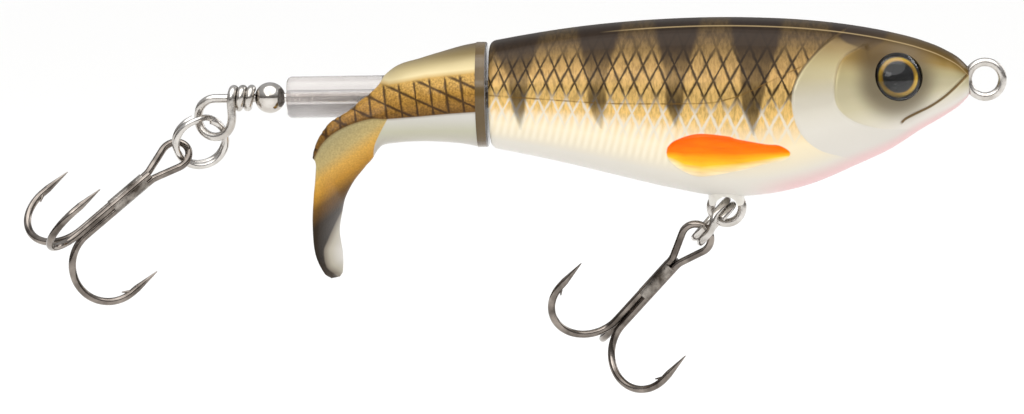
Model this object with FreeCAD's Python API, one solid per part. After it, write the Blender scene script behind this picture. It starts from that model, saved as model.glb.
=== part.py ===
import FreeCAD, Part
import math
import os

# Hard-bodied topwater fishing lure whose soft tail spins on a through-wire.
# Frame: +X points to the nose, +Z is up, and the origin is the centre of the
# line-tie eye. Every length is in millimetres. The side at -Y is the right one.

V = FreeCAD.Vector

# ---- wire line that carries everything ---------------------------------------
wire_d = 1.4                # stainless through-wire
shaft_z = -1.2              # height of the straight wire below the line tie
line_tie_hole = 4.2         # bore of the line-tie eye
line_tie_leg = 4.5          # how far the second leg of the eye reaches into the nose
groove_clearance = 0.03     # radial clearance of the wire in its grooves
running_clearance = 0.1     # radial clearance of what turns on the wire

# ---- body shell ---------------------------------------------------------------
nose_x = -2.6
body_length = 77.3
wall = 1.5
nose_block = 11.0           # solid plastic behind the nose face
rear_rim_r = 8.6            # round rear face, centred on the wire
body_max_width = 21.0
top_height = 10.75          # back above the line tie
belly_depth = 18.2          # belly below the line tie
rib_thickness = 1.4
pin_d = 2.0                 # locating pins moulded in the left half
pin_length = 2.2
pin_clearance = 0.08

# ---- eyes -----------------------------------------------------------------------
eye_x, eye_z = -13.73, 1.11
eye_d = 7.9
eye_rim = 0.35              # socket wall outside the dome
eye_disc_t = 0.3
eye_dome_h = 1.9
eye_proud = 1.5             # how far the dome stands out of the skin
eye_fit = 0.05

# ---- ballast and rattle ---------------------------------------------------------
weight_d = 7.5
weight_length = 11.5
weight_cup = 1.0            # wall of the cradle round a weight
weight_fit = 0.1
front_weight_x = -31.0
rear_weight_x = -54.0
weight_z = -9.4
ball_d = 4.0
ball_count = 3
rattle_travel = 8.0
rattle_wall = 1.0
rattle_fit = 0.12
rattle_x, rattle_z = -44.0, 4.6

# ---- belly hanger ---------------------------------------------------------------
hanger_x, hanger_z = -42.06, -20.06
hanger_hole = 3.65

# ---- tail -------------------------------------------------------------------------
tail_gap = 0.4              # air between the body and the tail cap
cap_t = 1.7
cap_r = 8.5
tube_d = 6.7
tube_end_x = -112.85
tube_round = 0.9
skin_fit = 0.0
bead_d = 5.0
bead_gap = 0.28

# ---- wire wrap and rear loop ------------------------------------------------------
wrap_gap = 0.06             # air between neighbouring coils, and coil and shaft
wrap_turns = 2.25
loop_r = 2.75               # centreline radius of the rear loop
loop_x = -124.6
loop_drop = 0.7             # straight sides of the loop
loop_bow = 1.0              # how far its rear side bows to the left

# ---- split rings --------------------------------------------------------------------
ring_gap = 0.04             # air between the two coils of a split ring
belly_ring_d, belly_ring_wire = 9.2, 1.15
rear_ring_d, rear_ring_wire = 9.25, 1.05

# ---- treble hooks -------------------------------------------------------------------
hook_wire = 1.2
shank_gap = 0.05            # air between neighbouring shanks, filled by the braze
hook_eye_r = 2.4            # centreline radius of the hook eye
hook_neck = 5.2             # eye centre to the corner where the straight shank starts
neck_r = 3.5
bend_start = 19.4
point_a, point_r = 14.1, 13.0
point_taper = 4.4
grind_turn = 40.0           # turn of the grinding block about the point, degrees
hook_seam = 135.0           # where the seam of the hook wire's surface lies, degrees
barb_back = 0.6             # from the taper to the barb's root
barb_reach = 1.0
braze_d = 2.5
braze_length = 6.8


def unit(v):
    return V(v).normalize()


def ball(centre, radius):
    return Part.makeSphere(radius, centre)


def rod(start, end, radius):
    axis = end - start
    return Part.makeCylinder(radius, axis.Length, start, axis)


def smooth_edge(points):
    """A spline edge through the points."""
    curve = Part.BSplineCurve()
    curve.interpolate(points)
    return curve.toShape()


def arc_edge(first, middle, last):
    return Part.Arc(first, middle, last).toShape()


def line_edge(first, last):
    return Part.LineSegment(first, last).toShape()


def bent_wire(edges, diameter, seam=0.0):
    """A round wire along edges that meet end to end; seam turns its section, in degrees."""
    path = Part.Wire(edges)
    start = edges[0].valueAt(edges[0].FirstParameter)
    tangent = edges[0].tangentAt(edges[0].FirstParameter)
    section = Part.Wire([Part.makeCircle(diameter / 2, start, tangent)])
    section.rotate(start, tangent, seam)
    sweep = Part.BRepOffsetAPI.MakePipeShell(path)
    sweep.setFrenetMode(False)
    sweep.add(section, False, False)
    sweep.build()
    sweep.makeSolid()
    return sweep.shape()


# ---- body outline -----------------------------------------------------------------
# Stations along the body as shares of its length from the nose, with the back's
# height, the belly's depth and the half width as shares of their largest values.
body_stations = [
    (0.000, 0.17, 0.14, 0.19),
    (0.016, 0.30, 0.21, 0.30),
    (0.050, 0.46, 0.31, 0.42),
    (0.100, 0.61, 0.43, 0.57),
    (0.160, 0.73, 0.59, 0.71),
    (0.240, 0.845, 0.745, 0.85),
    (0.330, 0.93, 0.90, 0.95),
    (0.430, 0.98, 0.99, 1.00),
    (0.530, 0.998, 0.995, 0.99),
    (0.630, 0.985, 0.915, 0.95),
    (0.730, 0.945, 0.81, 0.895),
    (0.830, 0.875, 0.70, 0.855),
    (0.920, 0.785, 0.61, 0.83),
]


def body_section(x, top, bottom, half_width, inset=0.0):
    """A closed oval across the body, with its widest line a little below the middle."""
    top, bottom, half_width = top - inset, bottom + inset, half_width - inset
    belt = bottom + (top - bottom) * 0.47
    points = []
    steps = 20
    for i in range(steps):
        t = 2 * math.pi * i / steps
        side, rise = math.cos(t), math.sin(t)
        height = (top - belt) if rise > 0 else (belt - bottom)
        power = 0.92 if rise > 0 else 1.0
        y = half_width * math.copysign(abs(side) ** power, side)
        points.append(V(x, y, belt + height * rise))
    curve = Part.BSplineCurve()
    curve.interpolate(points, PeriodicFlag=True)
    return Part.Wire([curve.toShape()])


def body_sizes(share):
    """Back height, belly height and half width at a share of the body's length."""
    rows = body_stations + [rear_station()]
    for (a, b) in zip(rows, rows[1:]):
        if a[0] <= share <= b[0]:
            t = (share - a[0]) / (b[0] - a[0])
            top, bottom, half = [a[i] + (b[i] - a[i]) * t for i in (1, 2, 3)]
            return top * top_height, -bottom * belly_depth, half * body_max_width / 2
    raise ValueError("share outside the body")


def rear_station():
    """The rear face is round and centred on the wire."""
    top = (shaft_z + rear_rim_r) / top_height
    bottom = (rear_rim_r - shaft_z) / belly_depth
    return (1.0, top, bottom, rear_rim_r / (body_max_width / 2))


def body_loft(inset=0.0, first=0.0, last=1.0):
    stations = [row[0] for row in body_stations + [rear_station()] if first < row[0] < last]
    wires = []
    for share in [first] + stations + [last]:
        x = nose_x - body_length * share
        wires.append(body_section(x, *body_sizes(share), inset=inset))
    return Part.makeLoft(wires, True, False)


def skin_y(x, z):
    """How far the skin stands from the middle plane at a point."""
    top, bottom, half = body_sizes((nose_x - x) / body_length)
    belt = bottom + (top - bottom) * 0.47
    rise = (z - belt) / ((top - belt) if z > belt else (belt - bottom))
    return half * math.sqrt(max(0.0, 1 - rise * rise))


rear_x = nose_x - body_length
rattle_length = ball_count * ball_d + rattle_travel


def inner_solids():
    """Ribs, cradles, rattle chamber and posts, before the shell cuts them to shape."""
    rib_places = [front_weight_x + weight_length / 2 + rib_thickness,
                  front_weight_x - weight_length / 2 - rib_thickness,
                  rear_weight_x + weight_length / 2 + rib_thickness,
                  rear_weight_x - weight_length / 2 - rib_thickness,
                  rear_x + body_length * 0.13]
    solids = []
    for x in rib_places:
        low = V(x - rib_thickness / 2, -body_max_width, -belly_depth)
        deep = top_height * 0.55 + belly_depth
        solids.append(Part.makeBox(rib_thickness, 2 * body_max_width, deep, low))
    for x in (front_weight_x, rear_weight_x):
        reach = weight_length / 2 + rib_thickness
        cradle_r = weight_d / 2 + weight_fit + weight_cup
        solids.append(rod(V(x - reach, 0, weight_z), V(x + reach, 0, weight_z), cradle_r))
    reach = rattle_length / 2 + rattle_wall
    chamber_r = ball_d / 2 + rattle_fit + rattle_wall
    solids.append(rod(V(rattle_x - reach, 0, rattle_z), V(rattle_x + reach, 0, rattle_z), chamber_r))
    roof = Part.makeBox(2 * reach, rib_thickness, top_height, V(rattle_x - reach, -rib_thickness / 2, rattle_z))
    solids.append(roof)
    hanger_post = wire_d / 2 + wall
    solids.append(rod(V(hanger_x, 0, -belly_depth), V(hanger_x, 0, shaft_z + 2 * hanger_post), 2 * hanger_post))
    for x, z in pin_places():
        solids.append(rod(V(x, -body_max_width, z), V(x, body_max_width, z), pin_d / 2 + 1.0))
    return solids


def pin_places():
    front = nose_x - nose_block - 4.0
    back = rear_x + body_length * 0.06
    return [(front, top_height * 0.42), (front, -belly_depth * 0.42),
            (back, top_height * 0.38), (back, -belly_depth * 0.36)]


def hanger_lumps():
    """Plastic lugs that the belly hanger comes out between."""
    r = hanger_hole / 2 + wire_d
    low = hanger_z + 0.25
    lump = Part.makeCylinder(r - 0.3, 2.6, V(hanger_x, 0, low), V(0, 0, 1))
    lump = lump.makeFillet(0.35, [e for e in lump.Edges if abs(e.CenterOfMass.z - low) < 0.01])
    ring_room = hanger_hole / 2 + groove_clearance
    return lump.cut(rod(V(hanger_x, -r, hanger_z), V(hanger_x, r, hanger_z), ring_room))


def hollows():
    """Everything cut out of both halves: grooves, pockets and bores."""
    groove = wire_d / 2 + groove_clearance
    cuts = [rod(V(rear_x - 1, 0, shaft_z), V(2, 0, shaft_z), groove)]
    upper_end = V(nose_x - line_tie_leg - 0.3, 0, -shaft_z)
    cuts.append(rod(upper_end, V(2, 0, -shaft_z), groove))
    for x in (front_weight_x, rear_weight_x):
        half = weight_length / 2 + weight_fit
        radius = weight_d / 2 + weight_fit
        cuts.append(rod(V(x - half, 0, weight_z), V(x + half, 0, weight_z), radius))
    half = rattle_length / 2
    cuts.append(rod(V(rattle_x - half, 0, rattle_z), V(rattle_x + half, 0, rattle_z), ball_d / 2 + rattle_fit))
    cuts.append(grown_hanger())
    cuts.append(Part.makeTorus((line_tie_hole + wire_d) / 2, groove, V(0, 0, 0), V(0, 1, 0)))
    for side in (1, -1):
        cuts.append(eye_socket(side))
    return cuts


def grown_hanger():
    """The room that the belly hanger takes in the shell."""
    groove = wire_d / 2 + groove_clearance
    ring = Part.makeTorus(hanger_ring_r(), groove, V(hanger_x, 0, hanger_z), V(0, 1, 0))
    shank = rod(V(hanger_x, 0, hanger_z + hanger_ring_r()), V(hanger_x, 0, shaft_z - 1.0), groove)
    collar_r = wire_d + running_clearance
    collar = rod(V(hanger_x - groove, 0, shaft_z), V(hanger_x + groove, 0, shaft_z), collar_r + wire_d / 2)
    return ring.fuse([shank, collar])


def hanger_ring_r():
    return (hanger_hole + wire_d) / 2


# ---- eyes ---------------------------------------------------------------------------
def eye_seat(side):
    """Where the printed disc lies against the floor of its socket, and which way it faces."""
    step = 0.5
    y = skin_y(eye_x, eye_z)
    slope_x = (skin_y(eye_x + step, eye_z) - skin_y(eye_x - step, eye_z)) / (2 * step)
    slope_z = (skin_y(eye_x, eye_z + step) - skin_y(eye_x, eye_z - step)) / (2 * step)
    facing = unit(V(-slope_x, 1.0, -slope_z))
    seat = V(eye_x, y, eye_z) - facing * (eye_dome_h - eye_proud + eye_disc_t)
    if side < 0:
        return V(seat.x, -seat.y, seat.z), V(facing.x, -facing.y, facing.z)
    return seat, facing


def eye_socket(side):
    seat, facing = eye_seat(side)
    return Part.makeCylinder(eye_d / 2 + eye_fit, 6, seat - facing * eye_fit, facing)


def eye_boss(side):
    """A raised rim round the socket and the plastic behind it."""
    seat, facing = eye_seat(side)
    depth = 1.3
    return Part.makeCylinder(eye_d / 2 + eye_rim + 0.6, depth, seat - facing * depth, facing)


def eye_disc(side):
    seat, facing = eye_seat(side)
    return Part.makeCylinder(eye_d / 2 - 0.15, eye_disc_t, seat, facing)


def eye_dome(side):
    """A clear cap of a sphere on the disc."""
    seat, facing = eye_seat(side)
    base = seat + facing * eye_disc_t
    r = eye_d / 2
    sphere_r = (r * r + eye_dome_h * eye_dome_h) / (2 * eye_dome_h)
    sphere = ball(base + facing * (eye_dome_h - sphere_r), sphere_r)
    return sphere.common(Part.makeCylinder(r, eye_dome_h + 1, base, facing))


# ---- shell halves -------------------------------------------------------------------
def shell_halves():
    outer = body_loft()
    first = nose_block / body_length
    last = 1.0 - wall / body_length
    inner = body_loft(wall, first, last)
    big = 2 * body_length
    left_space = Part.makeBox(big, big, big, V(-big, 0, -big / 2))
    lugs = hanger_lumps()
    inside = inner_solids() + [eye_boss(1), eye_boss(-1)]
    filling = [solid.common(inner) for solid in inside]
    shell = outer.cut(inner).fuse(filling + [lugs])
    shell = shell.cut(hollows())
    left = shell.common(left_space)
    right = shell.cut(left_space)
    for x, z in pin_places():
        left = left.fuse(rod(V(x, 1, z), V(x, -pin_length, z), pin_d / 2))
        socket = rod(V(x, 1, z), V(x, -pin_length - pin_clearance, z), pin_d / 2 + pin_clearance)
        right = right.cut(socket)
    return left, right


# ---- metal on the wire line ------------------------------------------------------------
def rear_loop_line():
    """Points from the shaft's end round the loop, up its right side and on as the wrap."""
    wrap_r = pitch = wire_d + wrap_gap
    upper = V(loop_x, 0, shaft_z - loop_r)
    lower = V(loop_x, 0, upper.z - loop_drop)
    points = []
    for degrees in range(90, 181, 30):
        t = math.radians(degrees)
        bow = loop_bow * (1 - math.sin(t))
        points.append(upper + V(loop_r * math.cos(t), bow, loop_r * math.sin(t)))
    for degrees in range(195, 361, 30):
        t = math.radians(degrees)
        bow = (loop_bow - wrap_r - (loop_bow + wrap_r) * math.cos(t)) / 2
        points.append(lower + V(loop_r * math.cos(t), bow, loop_r * math.sin(t)))
    wrap_x = loop_x + loop_r
    points.append(V(wrap_x, -wrap_r, shaft_z - loop_r * 0.45))
    steps = int(wrap_turns * 12)
    for i in range(steps + 1):
        turn = 2 * math.pi * wrap_turns * i / steps
        x = wrap_x + pitch * turn / (2 * math.pi)
        points.append(V(x, -wrap_r * math.cos(turn), shaft_z + wrap_r * math.sin(turn)))
    return points


def through_wire():
    """One wire: line-tie eye, straight shaft, rear loop and the wrap that locks it."""
    ring_r = (line_tie_hole + wire_d) / 2
    eye = Part.makeTorus(ring_r, wire_d / 2, V(0, 0, 0), V(0, 1, 0))
    leg_start = -math.sqrt(ring_r ** 2 - shaft_z ** 2)
    shaft = rod(V(loop_x, 0, shaft_z), V(leg_start, 0, shaft_z), wire_d / 2)
    leg = rod(V(nose_x - line_tie_leg, 0, -shaft_z), V(leg_start, 0, -shaft_z), wire_d / 2)
    loop = bent_wire([smooth_edge(rear_loop_line())], wire_d)
    return eye.fuse([shaft, leg, loop])


def belly_hanger():
    """A wire eye below the belly whose upper end is a collar round the through-wire."""
    radius = wire_d / 2
    ring = Part.makeTorus(hanger_ring_r(), radius, V(hanger_x, 0, hanger_z), V(0, 1, 0))
    collar_r = wire_d + running_clearance
    shank_top = shaft_z - collar_r
    shank = rod(V(hanger_x, 0, hanger_z + hanger_ring_r()), V(hanger_x, 0, shank_top), radius)
    collar = Part.makeTorus(collar_r, radius, V(hanger_x, 0, shaft_z), V(1, 0, 0))
    return ring.fuse([shank, collar])


def thrust_bead():
    centre = V(tube_end_x - bead_gap - bead_d / 2, 0, shaft_z)
    bore = rod(V(centre.x - bead_d, 0, shaft_z), V(centre.x + bead_d, 0, shaft_z),
               wire_d / 2 + running_clearance)
    return ball(centre, bead_d / 2).cut(bore)


def ballast(x):
    half = weight_length / 2
    weight = rod(V(x - half, 0, weight_z), V(x + half, 0, weight_z), weight_d / 2)
    return weight.makeChamfer(0.5, weight.Edges[:1] + weight.Edges[-1:])


def rattle_balls():
    """Three steel balls in a row at the rear end of their chamber."""
    drop = rattle_fit - 0.05
    first = rattle_x - rattle_length / 2 + ball_d / 2 + 0.05
    gap = 0.04
    return [ball(V(first + i * (ball_d + gap), 0, rattle_z - drop), ball_d / 2) for i in range(ball_count)]


# ---- tail -------------------------------------------------------------------------------
def cap_front_x():
    return rear_x - tail_gap


def tail_core():
    """Clear moulding: the disc that closes the cone, and the tube that runs on the wire."""
    front = cap_front_x()
    disc = rod(V(front - cap_t, 0, shaft_z), V(front, 0, shaft_z), cap_r)
    disc = disc.makeFillet(0.3, [e for e in disc.Edges if abs(e.CenterOfMass.x - front) < 0.01])
    tube = rod(V(tube_end_x, 0, shaft_z), V(front - cap_t / 2, 0, shaft_z), tube_d / 2)
    ends = [e for e in tube.Edges if abs(e.CenterOfMass.x - tube_end_x) < 0.01]
    tube = tube.makeFillet(tube_round, ends)
    nib = rod(V(front - 0.1, 0, shaft_z), V(front + tail_gap - 0.12, 0, shaft_z), 2.2)
    bore = rod(V(tube_end_x - 1, 0, shaft_z), V(front + 1, 0, shaft_z), wire_d / 2 + running_clearance)
    return disc.fuse([tube, nib]).cut(bore)


# The skin of the tail is one loft from the round cap to the tip of the blade. Each
# row gives the blade's near edge, its far edge and its half thickness.
tail_sections = [
    (V(-84.4, 0.0, 6.75), V(-84.4, 0.0, -9.1), 7.95),
    (V(-87.7, -0.1, 5.85), V(-87.7, -0.1, -8.75), 7.3),
    (V(-91.0, -0.3, 4.9), V(-91.0, -0.3, -8.6), 6.7),
    (V(-95.2, -0.9, 3.5), V(-94.8, -0.7, -8.7), 5.6),
    (V(-98.9, -3.0, -0.2), V(-98.2, -1.4, -9.3), 3.9),
    (V(-102.2, -4.6, -3.2), V(-99.9, -1.4, -12.2), 2.6),
    (V(-105.8, -5.6, -5.5), V(-102.2, -0.6, -14.8), 2.1),
    (V(-107.9, -5.9, -9.6), V(-103.9, 1.6, -17.4), 1.7),
    (V(-108.0, -5.9, -15.0), V(-104.8, 3.6, -20.0), 1.4),
    (V(-108.5, -5.8, -21.0), V(-105.3, 4.6, -23.2), 1.1),
    (V(-108.4, -5.2, -26.0), V(-104.7, 4.6, -26.8), 0.85),
    (V(-107.2, -3.6, -29.4), V(-104.6, 3.4, -29.6), 0.6),
    (V(-106.1, -1.6, -30.5), V(-105.0, 1.6, -30.5), 0.35),
]


def oval(centre, long_half, short_half):
    """Points round a closed oval from its two half axes, the first one repeated."""
    steps = 16
    turns = [2 * math.pi * i / steps for i in range(steps)]
    points = [centre + long_half * math.cos(t) + short_half * math.sin(t) for t in turns]
    return points + [points[0]]


def skinned(rows):
    """A closed solid whose skin passes through rows of points, with flat ends."""
    surface = Part.BSplineSurface()
    surface.interpolate(rows)
    side = surface.toShape()
    ends = []
    for row in (rows[0], rows[-1]):
        rim = [e for e in side.Edges if e.Length > 0.1 and e.isClosed()
               and e.BoundBox.isInside(row[0]) and e.BoundBox.isInside(row[len(row) // 2])]
        ends.append(Part.Face(Part.Wire([rim[0]])))
    shell = Part.makeShell([side] + ends)
    shell.sewShape()
    solid = Part.makeSolid(shell)
    if solid.Volume < 0:
        solid.reverse()
    return solid


def tail_skin():
    back_of_cap = cap_front_x() - cap_t
    rim_r = cap_r - 0.1
    rows = [oval(V(back_of_cap, 0, shaft_z), V(0, 0, rim_r), V(0, rim_r, 0))]
    centres = [(near + far) * 0.5 for near, far, half in tail_sections]
    for i, (near, far, half) in enumerate(tail_sections):
        before = centres[max(i - 1, 0)]
        after = centres[min(i + 1, len(centres) - 1)]
        run = after - before if i else V(-1, 0, 0)
        long_half = (near - far) * 0.5
        rows.append(oval(centres[i], long_half, unit(long_half.cross(run)) * -half))
    room = rod(V(tube_end_x, 0, shaft_z), V(back_of_cap + 1, 0, shaft_z), tube_d / 2 + skin_fit)
    return skinned(rows).cut(room)


# ---- split rings --------------------------------------------------------------------------
def split_ring(centre, normal, toward, outer_d, wire):
    """Two flat coils side by side, joined by a short crossover opposite 'toward'."""
    normal = unit(normal)
    along = unit(toward - normal * toward.dot(normal))
    side = normal.cross(along)
    radius = (outer_d - wire) / 2
    pitch = wire + ring_gap
    cross = 1.35 * wire / radius
    first, last = cross, 4 * math.pi - cross
    steps = 72
    points = []
    for i in range(steps + 1):
        angle = first + (last - first) * i / steps
        lift = (angle - 2 * math.pi) / cross
        lift = max(-1.0, min(1.0, lift))
        lift = math.sin(lift * math.pi / 2) / 2
        turn = angle + math.pi
        spot = centre + along * (radius * math.cos(turn)) + side * (radius * math.sin(turn))
        points.append(spot + normal * (lift * pitch))
    return bent_wire([smooth_edge(points)], wire)


# ---- treble hooks ---------------------------------------------------------------------------
def hook_frame(eye, shank, across, single_angle):
    """Axes of a treble: a along the shank, single and pair across it, and the eye's side."""
    along = unit(shank)
    across = unit(across)
    outward = along.cross(across)
    if outward.y > 0:
        outward = outward * -1

    def radial(angle):
        t = math.radians(angle)
        return across * math.cos(t) + outward * math.sin(t)

    return eye, along, radial, single_angle


def shank_r():
    return (hook_wire + shank_gap) / math.sqrt(3)


def corner_arc(before, corner, after, radius):
    """The tangent arc that rounds a corner of a wire, as an edge from run to run."""
    back, ahead = unit(before - corner), unit(after - corner)
    half_turn = math.acos(max(-1.0, min(1.0, back.dot(ahead)))) / 2
    reach = radius / math.tan(half_turn)
    middle = corner + unit(back + ahead) * (radius / math.sin(half_turn) - radius)
    return arc_edge(corner + back * reach, middle, corner + ahead * reach)


def ends(edge):
    return edge.valueAt(edge.FirstParameter), edge.valueAt(edge.LastParameter)


def joined(pieces):
    """Edges along the pieces, with straight runs in the spaces between them."""
    edges = [pieces[0]]
    for piece in pieces[1:]:
        edges.append(line_edge(ends(edges[-1])[1], ends(piece)[0]))
        edges.append(piece)
    return edges


def arm_edges(frame, angle):
    """Straight shank, round bend and straight spear of one arm, from the shank's top."""
    eye, along, radial, single_angle = frame
    out = radial(angle)
    inner_r = shank_r()
    bend_r = (point_r - inner_r) / 2

    def at(a, r):
        return eye + along * a + out * r

    bend = arc_edge(at(bend_start, inner_r), at(bend_start + bend_r, inner_r + bend_r),
                    at(bend_start, point_r))
    spear = line_edge(at(bend_start, point_r), at(point_a - hook_wire / 2, point_r))
    return at, bend, spear


def sharpened(wire, arms):
    """The wire with each arm's end ground to a point and a barb cut up on its inner side."""
    waste, barbs = [], []
    for at in arms:
        spear = point_a + point_taper
        axis = at(point_a, point_r) - at(spear, point_r)
        keep = Part.makeCone(hook_wire * 0.52, 0.08, point_taper, at(spear, point_r), axis)
        block = Part.makeCylinder(hook_wire, point_taper + 1, at(spear, point_r), axis).cut(keep)
        block.rotate(at(spear, point_r), axis, grind_turn)
        waste.append(block)
        foot = at(spear + barb_back, point_r)
        slope = at(spear + barb_back + 1.6 * barb_reach, point_r - hook_wire / 2 - barb_reach * 0.6) - foot
        barbs.append(Part.makeCone(hook_wire * 0.3, 0.1, slope.Length, foot, slope))
    return wire.cut(waste).fuse(barbs)


def treble(eye, shank, across, single_angle, eye_twist):
    """A double hook with the eye, a single hook laid against it, and the braze between."""
    frame = hook_frame(eye, shank, across, single_angle)
    eye, along, radial, single_angle = frame
    r0 = shank_r()
    pair_angles = (single_angle + 120, single_angle - 120)
    middle = eye + radial(single_angle + 180) * (r0 / 2)
    side = radial(single_angle - 90 + eye_twist)
    half = r0 * math.cos(math.radians(30))
    tangent = math.acos(hook_eye_r / math.hypot(hook_neck, half)) + math.atan2(half, hook_neck)

    def on_eye(turn):
        return middle + (along * math.cos(turn) + side * math.sin(turn)) * hook_eye_r

    shoulder = [on_eye(-tangent), on_eye(tangent)]
    half_way = (tangent + math.pi) / 2
    eye_arcs = [arc_edge(shoulder[0], on_eye(-half_way), on_eye(math.pi)),
                arc_edge(on_eye(math.pi), on_eye(half_way), shoulder[1])]
    edges = []
    sides = []
    for angle, start in zip(pair_angles, shoulder):
        at, bend, spear = arm_edges(frame, angle)
        neck = corner_arc(start, at(hook_neck, r0), at(bend_start, r0), neck_r)
        sides.append((joined([neck, bend]) + [spear], at))
    first = [flipped(edge) for edge in reversed(sides[0][0])]
    edges = joined([first[-1], eye_arcs[0]]) + joined([eye_arcs[1], sides[1][0][0]])
    pair = bent_wire(first[:-1] + edges + sides[1][0][1:], hook_wire, hook_seam)
    pair = sharpened(pair, [at for part_edges, at in sides])
    at, bend, spear = arm_edges(frame, single_angle)
    single = bent_wire([line_edge(at(hook_neck, r0), at(bend_start, r0)), bend, spear], hook_wire)
    single = sharpened(single, [at])
    start = eye + along * (hook_neck + hook_wire)
    braze = rod(start, start + along * braze_length, braze_d / 2)
    for angle in pair_angles + (single_angle,):
        base = eye + radial(angle) * r0
        braze = braze.cut(rod(base, base + along * bend_start, hook_wire / 2))
    return pair, single, braze


def flipped(edge):
    """The same edge, run the other way."""
    middle = edge.valueAt((edge.FirstParameter + edge.LastParameter) / 2)
    first, last = ends(edge)
    if (middle - (first + last) * 0.5).Length < 1e-6:
        return line_edge(last, first)
    return arc_edge(last, middle, first)


# ---- where the rings and hooks hang --------------------------------------------------------
belly_ring_centre = V(hanger_x - 2.12, 0.2, hanger_z - 2.27)
belly_ring_normal = V(0.66, 0.0, -0.594)
belly_eye = V(hanger_x - 4.95, 0.05, hanger_z - 4.88)
belly_shank = V(-0.661, 0.242, -0.710)
belly_across = V(0.732, 0, -0.681)
belly_single = 268.8
belly_eye_twist = 0.0

rear_ring_centre = V(loop_x - 2.48, 0.61, shaft_z - 6.98)
rear_ring_normal = V(-0.282, 1.0, 0.401)
rear_eye = V(loop_x - 6.75, 0.0, shaft_z - 9.02)
rear_shank = V(-0.756, -0.208, -0.620)
rear_across = V(0.634, 0, -0.773)
rear_single = 105.6
rear_eye_twist = 15.5


def build():
    left, right = shell_halves()
    belly_pair, belly_single_arm, belly_braze = treble(
        belly_eye, belly_shank, belly_across, belly_single, belly_eye_twist)
    rear_pair, rear_single_arm, rear_braze = treble(
        rear_eye, rear_shank, rear_across, rear_single, rear_eye_twist)
    belly_ring = split_ring(belly_ring_centre, belly_ring_normal, V(0, 1, 0), belly_ring_d, belly_ring_wire)
    rear_ring = split_ring(rear_ring_centre, rear_ring_normal, V(0, 0, -1), rear_ring_d, rear_ring_wire)
    return {
        "body_shell_left": left,
        "body_shell_right": right,
        "through_wire": through_wire(),
        "belly_hanger": belly_hanger(),
        "front_ballast": ballast(front_weight_x),
        "rear_ballast": ballast(rear_weight_x),
        "rattle_balls": Part.makeCompound(rattle_balls()),
        "eye_disc_left": eye_disc(1),
        "eye_disc_right": eye_disc(-1),
        "eye_dome_left": eye_dome(1),
        "eye_dome_right": eye_dome(-1),
        "tail_core": tail_core(),
        "tail_skin": tail_skin(),
        "thrust_bead": thrust_bead(),
        "belly_split_ring": belly_ring,
        "belly_hook_pair": belly_pair,
        "belly_hook_single": belly_single_arm,
        "belly_hook_braze": belly_braze,
        "rear_split_ring": rear_ring,
        "rear_hook_pair": rear_pair,
        "rear_hook_single": rear_single_arm,
        "rear_hook_braze": rear_braze,
    }


os.makedirs("parts", exist_ok=True)
for name, shape in build().items():
    shape.exportStep("parts/" + name + ".step")
    solids = len(shape.Solids)
    print(f"{name:20s} solids {solids} valid {shape.isValid()} volume {shape.Volume:9.2f}")
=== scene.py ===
import math

import bmesh
import bpy
import numpy as np
from mathutils import Matrix, Vector


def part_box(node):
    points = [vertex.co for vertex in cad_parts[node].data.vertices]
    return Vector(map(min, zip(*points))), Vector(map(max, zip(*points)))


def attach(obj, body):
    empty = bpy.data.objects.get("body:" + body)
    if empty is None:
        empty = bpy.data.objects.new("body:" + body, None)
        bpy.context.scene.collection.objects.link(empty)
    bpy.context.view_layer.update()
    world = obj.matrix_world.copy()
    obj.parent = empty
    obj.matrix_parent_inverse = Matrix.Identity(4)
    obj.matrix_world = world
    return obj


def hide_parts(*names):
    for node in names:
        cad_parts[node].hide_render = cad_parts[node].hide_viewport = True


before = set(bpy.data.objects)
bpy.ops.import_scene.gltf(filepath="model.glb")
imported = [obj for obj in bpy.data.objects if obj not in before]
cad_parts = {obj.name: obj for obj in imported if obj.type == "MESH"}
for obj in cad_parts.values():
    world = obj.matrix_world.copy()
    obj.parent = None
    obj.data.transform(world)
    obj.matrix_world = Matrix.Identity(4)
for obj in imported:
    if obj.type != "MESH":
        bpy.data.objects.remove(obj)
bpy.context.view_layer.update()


# ---- Body halves ---------------------------------------------------------------------
# Two ABS mouldings, welded along the middle plane. Gill covers, mouth and side fins are
# raised or cut in the mould. The coat is airbrushed over a gold foil under clear lacquer.
MM = 0.001
NOSE_X, REAR_X, SHAFT_Z = -2.6, -79.9, -1.2
BACK, BELLY, HALF_WIDTH = 10.74, 18.2, 10.5
BELT = 0.47                 # height of the widest line, as a share of the section
ROWS, COLUMNS = 290, 132    # the grid of one half
SHELL_WALL = 1.2
REAR_ROUND, REAR_R = 1.0, 8.6   # rounding and radius of the rear edge
SCALE_PITCH = 2.72
NOSE_HOLE, SHAFT_HOLE = 0.36, 0.09

outline = np.array([
    (0.000, 0.17, 0.14, 0.19), (0.016, 0.30, 0.21, 0.30), (0.050, 0.46, 0.31, 0.42),
    (0.100, 0.61, 0.43, 0.57), (0.160, 0.73, 0.59, 0.71), (0.240, 0.845, 0.745, 0.85),
    (0.330, 0.93, 0.90, 0.95), (0.430, 0.98, 0.99, 1.00), (0.530, 0.998, 0.995, 0.99),
    (0.630, 0.985, 0.915, 0.95), (0.730, 0.945, 0.81, 0.895), (0.830, 0.875, 0.70, 0.855),
    (0.920, 0.785, 0.61, 0.83), (1.000, 7.4 / 10.75, 9.8 / 18.2, 8.6 / 10.5)])


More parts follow.
